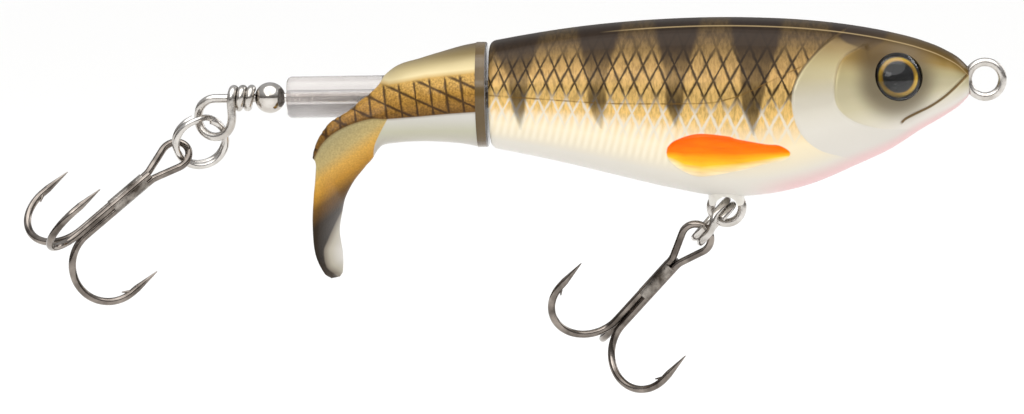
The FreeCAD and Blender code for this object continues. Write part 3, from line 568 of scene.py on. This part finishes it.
# Each oval as its near and far edge and half its thickness.
blade = [
    ((-84.4, 0.0, 6.75), (-84.4, 0.0, -9.1), 7.95),
    ((-87.7, -0.1, 5.85), (-87.7, -0.1, -8.75), 7.3),
    ((-91.0, -0.3, 4.9), (-91.0, -0.3, -8.6), 6.7),
    ((-95.2, -0.9, 3.5), (-94.8, -0.7, -8.7), 5.6),
    ((-98.9, -3.0, -0.2), (-98.2, -1.4, -9.3), 3.9),
    ((-102.2, -4.6, -3.2), (-99.9, -1.4, -12.2), 2.6),
    ((-105.8, -5.6, -5.5), (-102.2, -0.6, -14.8), 2.1),
    ((-107.9, -5.9, -9.6), (-103.9, 1.6, -17.4), 1.7),
    ((-108.0, -5.9, -15.0), (-104.8, 3.6, -20.0), 1.4),
    ((-108.5, -5.8, -21.0), (-105.3, 4.6, -23.2), 1.1),
    ((-108.4, -5.2, -26.0), (-104.7, 4.6, -26.8), 0.7),
    ((-107.2, -3.6, -29.4), (-104.6, 3.4, -29.6), 0.42),
    ((-106.1, -1.6, -30.5), (-105.0, 1.6, -30.5), 0.35)]
ridge_line = drawn([(-81, -3.5), (-86, -3.8), (-92, -4.3), (-96.4, -4.6),
                    (-99, -4.55), (-102.15, -5.36), (-104.91, -6.68), (-106.91, -8.41),
                    (-108.2, -10.6)])
fold_line = drawn([(-96.1, -4.2), (-96.7, -5.3), (-97.7, -7.1), (-98.6, -9.2),
                   (-98.8, -12.0), (-98.4, -16.0), (-98.0, -34.0)])
cup_line = drawn([(-103.9, -17.5), (-104.4, -19.5), (-105.6, -22.0), (-106.6, -24.3),
                  (-107.2, -26.0), (-106.8, -28.6), (-105.4, -30.2), (-104.6, -31.5)])


def tail_grid():
    """Ovals along the tail, from the cap to the blade's tip, as rows of points."""
    ovals = [(np.array((TAIL_FRONT, 0, SHAFT_Z)), np.array((0, 0, TAIL_RIM_R)),
              np.array((0, TAIL_RIM_R, 0)))]
    middles = [(np.array(near) + far) / 2 for near, far, thick in blade]
    for i, (near, far, thick) in enumerate(blade):
        run = middles[min(i + 1, len(blade) - 1)] - middles[i - 1] if i else np.array((-1, 0, 0))
        tall = (np.array(near) - far) / 2
        flat = np.cross(tall, run)
        ovals.append((middles[i], tall, -thick * flat / np.linalg.norm(flat)))
    table = np.array([(i, *np.concatenate(row)) for i, row in enumerate(ovals)])
    table = eased(table, np.linspace(0, len(blade), len(blade) * TAIL_STEPS + 1))
    turn = np.linspace(0, 2 * math.pi, TAIL_TURNS + 1)
    grid = (table[:, None, 0:3] + table[:, None, 3:6] * np.cos(turn)[None, :, None]
            + table[:, None, 6:9] * np.sin(turn)[None, :, None])
    along, around = np.gradient(grid, axis=0), np.gradient(grid, axis=1)
    around[:, [0, -1]] = (grid[:, 1] - grid[:, -2])[:, None]
    normal = np.cross(along, around)
    normal /= np.maximum(np.linalg.norm(normal, axis=2), 1e-9)[..., None]
    outward = grid - table[:, None, 0:3]
    normal *= np.sign((normal * outward).sum())
    relief = tail_relief(grid) * step_up(np.arange(len(grid)), 3, 14)[:, None]
    return grid + normal * relief[..., None]


def tail_relief(points):
    """The band stands proud of the underside, and the blade's face is hollowed below it."""
    at = tail_markings(points.reshape(-1, 3))
    shape = points.shape[:2]
    ridge, fold = at["ridge"].reshape(shape), at["fold"].reshape(shape)
    edge = 0.3 * step_up(ridge, -0.2, 0.25) * np.exp(-np.clip(ridge, 0, 99) / 2.2)
    hollow = 0.4 * step_up(-ridge, 0.0, 1.6) * step_up(fold, 0.0, 1.2)
    hollow = hollow * step_up(points[:, :, 2], -17, -10)
    cells = np.minimum(abs((at["scale_a"] + 0.5) % 1 - 0.5),
                       abs((at["scale_b"] + 0.5) % 1 - 0.5) * 1.2)
    cells = 0.08 * (step_up(cells.reshape(shape), 0.0, 0.12) - 1) * step_up(ridge, 0.2, 0.6)
    band = 1 - step_up(points[:, :, 2] - band_top(points[:, :, 0]), -0.4, 0.4)
    return edge - hollow + cells * band


def band_top(x):
    return np.interp(x, (-108, -104, -100, -96, -90, -82), (20, 20, 1.2, 0.7, 1.8, 2.6))


def tail_markings(points):
    x, z = points[:, 0], points[:, 2]
    found = {"ridge": -off_line(ridge_line, x, z)[0], "fold": -off_line(fold_line, x, z)[0]}
    found["band_top"] = z - band_top(x)
    found["cup"] = off_line(cup_line, x, z)[0]
    found["scale_a"] = (x + 0.12 * z) / 2.55
    found["scale_b"] = (z + 0.45 * x) / 3.05
    return found


grid = tail_grid()
bm = bmesh.new()
bmesh.ops.create_grid(bm, x_segments=TAIL_TURNS, y_segments=len(grid) - 1, size=1)
for v in bm.verts:
    column = round((v.co.x + 1) / 2 * TAIL_TURNS)
    row = round((v.co.y + 1) / 2 * (len(grid) - 1))
    v.co = Vector(grid[row, column]) * MM
bmesh.ops.remove_doubles(bm, verts=bm.verts, dist=1e-7)
bmesh.ops.holes_fill(bm, edges=[e for e in bm.edges if e.is_boundary])
bmesh.ops.recalc_face_normals(bm, faces=bm.faces)
tail = shown("tail_boot", bm, "tail")
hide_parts("tail_skin")
bore = bmesh.new()
bmesh.ops.create_cone(bore, cap_ends=True, segments=72, radius1=TUBE_R * MM, radius2=TUBE_R * MM,
                      depth=BORE_LENGTH * MM)
bmesh.ops.rotate(bore, matrix=Matrix.Rotation(math.radians(90), 3, "Y"), verts=bore.verts)
bmesh.ops.translate(bore, vec=Vector((TAIL_FRONT + 1 - BORE_LENGTH / 2, 0, SHAFT_Z)) * MM,
                    verts=bore.verts)
cut_away(tail, bore)
tail.data.set_sharp_from_angle(angle=math.radians(50))
points = np.array([v.co for v in tail.data.vertices]) / MM
for name, values in tail_markings(points).items():
    note(tail, name, values)

tail_paint, tree, shader = new_material("painted_soft_pvc")
marks = {name: node(tree, "Attribute", attribute_name=name).outputs["Fac"]
         for name in ("ridge", "fold", "cup", "band_top", "scale_a", "scale_b")}
place = node(tree, "TexCoord").outputs["Object"]
where = node(tree, "SeparateXYZ", {0: place})
flake = node(tree, "TexNoise", {"Vector": place, "Scale": 3200.0, "Detail": 2.0})
# Khaki over the top of the tail, darker toward the top, with a painted highlight as a pale stripe
# just above the scaly band.
top_tone_and_highlight = node(tree, "MapRange", {0: marks["band_top"], 1: 0.0, 2: 4.6})
top_tone_and_highlight = node(tree, "ValToRGB", {0: top_tone_and_highlight}, stops=[
    (0.0, "#b8934d"), (1.0, "#5d4e33"), (0.18, "#d0bf92"), (0.42, "#b9a87c"), (0.7, "#86754e")])
band_tone = node(tree, "MapRange", {0: marks["ridge"], 1: 0.0, 2: 5.5})
band_tone = node(tree, "ValToRGB", {0: band_tone}, stops=[
    (0.0, "#64441b"), (1.0, "#b8914b"), (0.25, "#8c652b"), (0.6, "#a57b36")])
band_flake = node(tree, "MapRange", {0: flake, 1: 0.3, 2: 0.7, 3: 0.6, 4: 1.35})
band_tone = node(tree, "VectorMath", {0: band_tone, "Scale": band_flake.outputs[0]},
                 operation="SCALE")
near_a = node(tree, "Math", {0: marks["scale_a"], 1: 0.5}, operation="PINGPONG")
near_b = node(tree, "Math", {0: marks["scale_b"], 1: 0.5}, operation="PINGPONG")
wobble = node(tree, "TexNoise", {"Vector": place, "Scale": 700.0, "Detail": 2.0})
thick_a = node(tree, "MapRange", {0: wobble, 1: 0.3, 2: 0.7, 3: 0.07, 4: 0.2})
line_a = node(tree, "MapRange", {0: near_a, 1: 0.02, 2: thick_a.outputs[0], 3: 0.9, 4: 0.0},
              interpolation_type="SMOOTHSTEP")
line_b = node(tree, "MapRange", {0: near_b, 1: 0.02, 2: thick_a.outputs[0], 3: 0.9, 4: 0.0},
              interpolation_type="SMOOTHSTEP")
lines = node(tree, "Math", {0: line_a, 1: line_b}, operation="MAXIMUM")
band_tone = node(tree, "MixRGB", {0: lines, 1: band_tone, 2: linear("#35220f")})
above_band = node(tree, "MapRange", {0: marks["band_top"], 1: -0.45, 2: 0.35},
                  interpolation_type="SMOOTHSTEP")
outer = node(tree, "MixRGB", {0: above_band, 1: band_tone, 2: top_tone_and_highlight})
under = node(tree, "MapRange", {0: where.outputs[2], 1: -0.009, 2: -0.0045})
under = node(tree, "ValToRGB", {0: under}, stops=[
    (0.0, "#b7b2aa"), (1.0, "#cbc8c1"), (0.5, "#bdbba6")])
# The leg of the blade: khaki, then gold, then black along a slant; a pale cup at the tip with
# painted shade.
slant = node(tree, "VectorMath", {0: place, 1: (-0.7, 0.0, 1.0)},
             operation="DOT_PRODUCT").outputs["Value"]
slant = node(tree, "Math", {0: slant, 1: -0.0735}, operation="ADD")
leg = node(tree, "MapRange", {0: slant, 1: -0.031, 2: -0.004})
leg = node(tree, "ValToRGB", {0: leg}, stops=[
    (0.0, "#403427"), (1.0, "#857951"), (0.22, "#231b13"), (0.42, "#2c2012"), (0.52, "#6b4a1a"),
    (0.60, "#b98630"), (0.68, "#cfa04c"), (0.76, "#b5a06a"), (0.88, "#a2966c")])
cup = node(tree, "MapRange", {0: marks["cup"], 1: -0.1, 2: 0.15}, interpolation_type="SMOOTHSTEP")
low = node(tree, "MapRange", {0: where.outputs[2], 1: -0.0175, 2: -0.0205})
cup = node(tree, "Math", {0: cup, 1: low}, operation="MULTIPLY")
# Painted shade inside the cup: dark beside its edge, pale further in.
cup_tone_and_shade = node(tree, "MapRange", {0: marks["cup"], 1: 0.0, 2: 2.4})
cup_tone_and_shade = node(tree, "ValToRGB", {0: cup_tone_and_shade}, stops=[
    (0.0, "#6f6456"), (1.0, "#dedad2"), (0.4, "#b7b09f")])
leg_flake = node(tree, "MapRange", {0: flake, 1: 0.3, 2: 0.7, 3: 0.86, 4: 1.12})
leg = node(tree, "VectorMath", {0: leg, "Scale": leg_flake.outputs[0]}, operation="SCALE")
leg = node(tree, "MixRGB", {0: cup, 1: leg, 2: cup_tone_and_shade})
on_leg = node(tree, "MapRange", {0: marks["fold"], 1: -0.08, 2: 0.12},
              interpolation_type="SMOOTHSTEP")
inner = node(tree, "MixRGB", {0: on_leg, 1: under, 2: leg})
on_outer = node(tree, "MapRange", {0: marks["ridge"], 1: -0.08, 2: 0.1},
                interpolation_type="SMOOTHSTEP")
coat = node(tree, "MixRGB", {0: on_outer, 1: inner, 2: outer})
rim_dark = node(tree, "Math", {0: marks["ridge"]}, operation="ABSOLUTE")
rim_dark = node(tree, "MapRange", {0: rim_dark, 1: 0.05, 2: 0.35, 3: 0.45, 4: 0.0})
coat = node(tree, "MixRGB", {0: rim_dark, 1: coat, 2: linear("#6b4f28")})
tree.links.new(coat.outputs[0], shader.inputs["Base Color"])
shader.inputs["Metallic"].default_value = 0.15
shader.inputs["Roughness"].default_value = 0.36
shader.inputs["Specular IOR Level"].default_value = 0.12
shader.inputs["Coat Weight"].default_value = 0.12
shader.inputs["Coat Roughness"].default_value = 0.1
bump = node(tree, "Bump", {"Height": flake, "Strength": 0.25, "Distance": 0.0001})
tree.links.new(bump.outputs[0], shader.inputs["Normal"])
wear(tail, tail_paint)


# ---- Metal ---------------------------------------------------------------------------
# Bent stainless wire, split rings of plated spring wire, a turned steel bead, forged hooks
# in black nickel, brazed along their shanks, and plain steel weights in the hollow body.
def metal(name, dark, light, roughness, grit_mm, bump_mm):
    """Bent wire or turned steel, with fine drawing marks and a little tarnish."""
    made, tree, shader = new_material(name)
    place = node(tree, "TexCoord").outputs["Object"]
    cloud = node(tree, "TexNoise", {"Vector": place, "Scale": 350.0, "Detail": 3.0})
    tone = node(tree, "ValToRGB", {0: cloud}, stops=[(0.34, dark), (0.66, light)])
    grit = node(tree, "TexNoise", {"Vector": place, "Scale": 1000.0 / grit_mm, "Detail": 3.0})
    rough = node(tree, "MapRange", {0: grit, 1: 0.3, 2: 0.7, 3: roughness * 0.75,
                                    4: roughness * 1.35})
    bump = node(tree, "Bump", {"Height": grit, "Strength": 0.5, "Distance": bump_mm * MM})
    tree.links.new(tone.outputs[0], shader.inputs["Base Color"])
    tree.links.new(rough.outputs[0], shader.inputs["Roughness"])
    tree.links.new(bump.outputs[0], shader.inputs["Normal"])
    shader.inputs["Metallic"].default_value = 1.0
    return made


stainless = metal("drawn_stainless_wire", "#b5afa8", "#d6d2cd", 0.22, 0.4, 0.006)
for name in ("through_wire", "belly_hanger"):
    wear(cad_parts[name], stainless)
nickel = metal("bright_nickel_spring_wire", "#b5b0aa", "#d4d0cb", 0.16, 0.35, 0.006)
for name in ("belly_split_ring", "rear_split_ring"):
    wear(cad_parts[name], nickel)
bead_steel = metal("polished_steel_bead", "#b0a9a0", "#d5d0ca", 0.14, 0.5, 0.006)
wear(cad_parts["thrust_bead"], bead_steel)
hook_steel = metal("black_nickel_hook_wire", "#5a534d", "#958c84", 0.12, 0.3, 0.005)
for name in ("belly_hook_pair", "belly_hook_single", "rear_hook_pair", "rear_hook_single"):
    wear(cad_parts[name], hook_steel)
braze = metal("plated_braze", "#4a433c", "#b5aea6", 0.3, 0.45, 0.12)
for name in ("belly_hook_braze", "rear_hook_braze"):
    wear(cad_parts[name], braze)
weight_steel = metal("plain_steel_weight", "#6d6a66", "#8b8884", 0.4, 0.4, 0.02)
for name in ("front_ballast", "rear_ballast", "rattle_balls"):
    wear(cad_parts[name], weight_steel)


# ---- Tail core -----------------------------------------------------------------------
# Clear polycarbonate tube that runs on the wire; the disc at its front end is smoked brown.
# The tail is moulded over it, so only the disc, its hub and the rear of the tube show.
clear, tree, shader = new_material("moulded_clear_polycarbonate")
where = node(tree, "SeparateXYZ", {0: node(tree, "TexCoord").outputs["Object"]})
smoked = node(tree, "MapRange", {0: where.outputs[0], 1: -0.0835, 2: -0.0828})
# The hub in front of the disc stays clear.
nib = node(tree, "MapRange", {0: where.outputs[0], 1: -0.0805, 2: -0.0804, 3: 1.0, 4: 0.0})
smoked = node(tree, "Math", {0: smoked, 1: nib}, operation="MULTIPLY")
tone = node(tree, "MixRGB", {0: smoked.outputs[0], 1: linear("#dcd7d4"), 2: linear("#6d5835")})
tree.links.new(tone.outputs[0], shader.inputs["Base Color"])
see_through = node(tree, "MapRange", {0: smoked.outputs[0], 1: 0.0, 2: 1.0, 3: 0.8, 4: 0.3})
tree.links.new(see_through.outputs[0], shader.inputs["Transmission Weight"])
shader.inputs["Roughness"].default_value = 0.14
shader.inputs["IOR"].default_value = 1.45
wear(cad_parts["tail_core"], clear)


# ---- Eyes ----------------------------------------------------------------------------
# A printed foil disc behind a clear epoxy dome: black pupil, gold iris, black outer ring.
# Disc, dome and socket share one axis, which points outward and a little forward and up.
DISC_R = 3.8
dome, tree, shader = new_material("cast_clear_epoxy")
shader.inputs["Base Color"].default_value = linear("#ffffff")
shader.inputs["Transmission Weight"].default_value = 1.0
shader.inputs["Roughness"].default_value = 0.02
shader.inputs["IOR"].default_value = 1.42
for side, word in SIDES.items():
    wear(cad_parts[f"eye_dome_{word}"], dome)
    foil_print, tree, shader = new_material(f"printed_eye_foil_{word}")
    low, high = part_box(f"eye_disc_{word}")
    centre, facing = (low + high) / 2, mirrored(EYE_FACING, side)
    place = node(tree, "TexCoord").outputs["Object"]
    off = node(tree, "VectorMath", {0: place, 1: centre}, operation="SUBTRACT")
    depth = node(tree, "VectorMath", {0: off, 1: facing}, operation="DOT_PRODUCT").outputs["Value"]
    lift = node(tree, "VectorMath", {0: facing, "Scale": depth}, operation="SCALE")
    flat = node(tree, "VectorMath", {0: off, 1: lift}, operation="SUBTRACT")
    radius = node(tree, "VectorMath", {0: flat}, operation="LENGTH").outputs["Value"]
    share = node(tree, "Math", {0: radius, 1: 1 / (DISC_R * MM)}, operation="MULTIPLY")
    # The pupil sits a little low and back, so the iris is wider above and ahead of it.
    lean = node(tree, "VectorMath", {0: flat, 1: (14, 0, 16)},
                operation="DOT_PRODUCT").outputs["Value"]
    share = node(tree, "Math", {0: share, 1: lean}, operation="ADD")
    rings = node(tree, "ValToRGB", {0: share}, stops=[
        (0.0, "#0a0908"), (1.0, "#1a1410"), (0.58, "#0c0a08"), (0.61, "#5b4a18"), (0.66, "#d9a41f"),
        (0.77, "#f2c531"), (0.82, "#8d7020"), (0.85, "#17110b"), (0.95, "#1a130d")])
    # Painted light on the printed iris: darker toward the disc's bottom, brighter toward its top.
    height = node(tree, "SeparateXYZ", {0: flat}).outputs[2]
    light = node(tree, "MapRange", {0: height, 1: -0.003, 2: 0.003, 3: 0.35, 4: 1.3})
    rings = node(tree, "VectorMath", {0: rings, "Scale": light.outputs[0]}, operation="SCALE")
    tree.links.new(rings.outputs[0], shader.inputs["Base Color"])
    shader.inputs["Metallic"].default_value = 0.4
    shader.inputs["Roughness"].default_value = 0.3
    wear(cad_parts[f"eye_disc_{word}"], foil_print)


# ---- Floor, light and camera ---------------------------------------------------------
# A pale floor under a broad soft sky with three softboxes, and a long lens nearly square to
# the lure's right side.
FLOOR_Z, FLOOR_SIZE = -75.0, 9.0
bm = bmesh.new()
bmesh.ops.create_grid(bm, x_segments=2, y_segments=2, size=FLOOR_SIZE)
bmesh.ops.translate(bm, vec=(0, 0, FLOOR_Z * MM), verts=bm.verts)
mesh = bpy.data.meshes.new("floor")
bm.to_mesh(mesh)
bm.free()
floor = bpy.data.objects.new("floor", mesh)
bpy.context.scene.collection.objects.link(floor)
paper, tree, shader = new_material("pale_paper")
shader.inputs["Base Color"].default_value = linear("#f6f5f3")
shader.inputs["Roughness"].default_value = 0.9
wear(floor, paper)

world = bpy.data.worlds.new("studio")
bpy.context.scene.world = world
world.use_nodes = True
sky = world.node_tree
rise = node(sky, "SeparateXYZ", {0: node(sky, "TexCoord").outputs["Generated"]})
glow = node(sky, "MapRange", {0: rise.outputs[2], 1: 0.05, 2: 0.5})
glow = node(sky, "ValToRGB", {0: glow}, stops=[(0.0, "#756e68"), (1.0, "#f2f4f7")])
sky.links.new(glow.outputs[0], sky.nodes["Background"].inputs[0])
sky.nodes["Background"].inputs[1].default_value = 0.62


def softbox(name, place, target, width, height, power):
    """A rectangular soft light, turned to face a point."""
    lamp = bpy.data.lights.new(name, "AREA")
    lamp.shape, lamp.size, lamp.size_y, lamp.energy = "RECTANGLE", width, height, power
    obj = bpy.data.objects.new(name, lamp)
    obj.location = place
    obj.rotation_euler = (Vector(target) - Vector(place)).to_track_quat("-Z", "Y").to_euler()
    bpy.context.scene.collection.objects.link(obj)


MIDDLE = (-0.07, 0, -0.01)
softbox("overhead", (-0.07, -0.15, 0.75), MIDDLE, 0.9, 0.35, 1.3)
softbox("front", (-0.35, -0.9, 0.45), MIDDLE, 0.45, 0.3, 1.1)
softbox("back_right", (0.5, 0.5, 0.3), MIDDLE, 0.3, 0.5, 1.2)
# One very wide sun, 80 degrees across, leaning toward the camera's side.
sun = bpy.data.lights.new("sky_panel", "SUN")
sun.energy, sun.angle = 2.1, math.radians(80)
sky_panel = bpy.data.objects.new("sky_panel", sun)
sky_panel.rotation_euler = (math.radians(28), 0, 0)
bpy.context.scene.collection.objects.link(sky_panel)

YAW, LIFT, ROLL = math.radians(3.0), math.radians(4.0), math.radians(1.06)
DISTANCE = 2.0
WIDE, TALL = 1024, 414               # the view's width and height, in steps of STEP
STEP = 0.16128 * MM
TIE_ACROSS, TIE_DOWN = 985.1, 79.3   # where the line tie stands in the view
towards = Vector((math.sin(YAW) * math.cos(LIFT), -math.cos(YAW) * math.cos(LIFT), math.sin(LIFT)))
right = Vector((math.cos(YAW), math.sin(YAW), 0))
up = towards.cross(right)
right, up = (right * math.cos(ROLL) - up * math.sin(ROLL),
             up * math.cos(ROLL) + right * math.sin(ROLL))
lens = bpy.data.cameras.new("camera")
lens.sensor_width = 36
lens.lens = lens.sensor_width * DISTANCE / (WIDE * STEP)
lens.clip_start, lens.clip_end = 0.05, 60
camera = bpy.data.objects.new("camera", lens)
aim = (-right * (TIE_ACROSS - WIDE / 2) - up * (TALL / 2 - TIE_DOWN)) * STEP
turn = Matrix((right, up, towards)).transposed()
camera.matrix_world = Matrix.Translation(aim + towards * DISTANCE) @ turn.to_4x4()
bpy.context.scene.collection.objects.link(camera)
bpy.context.scene.camera = camera
bpy.context.scene.view_settings.view_transform = "Standard"
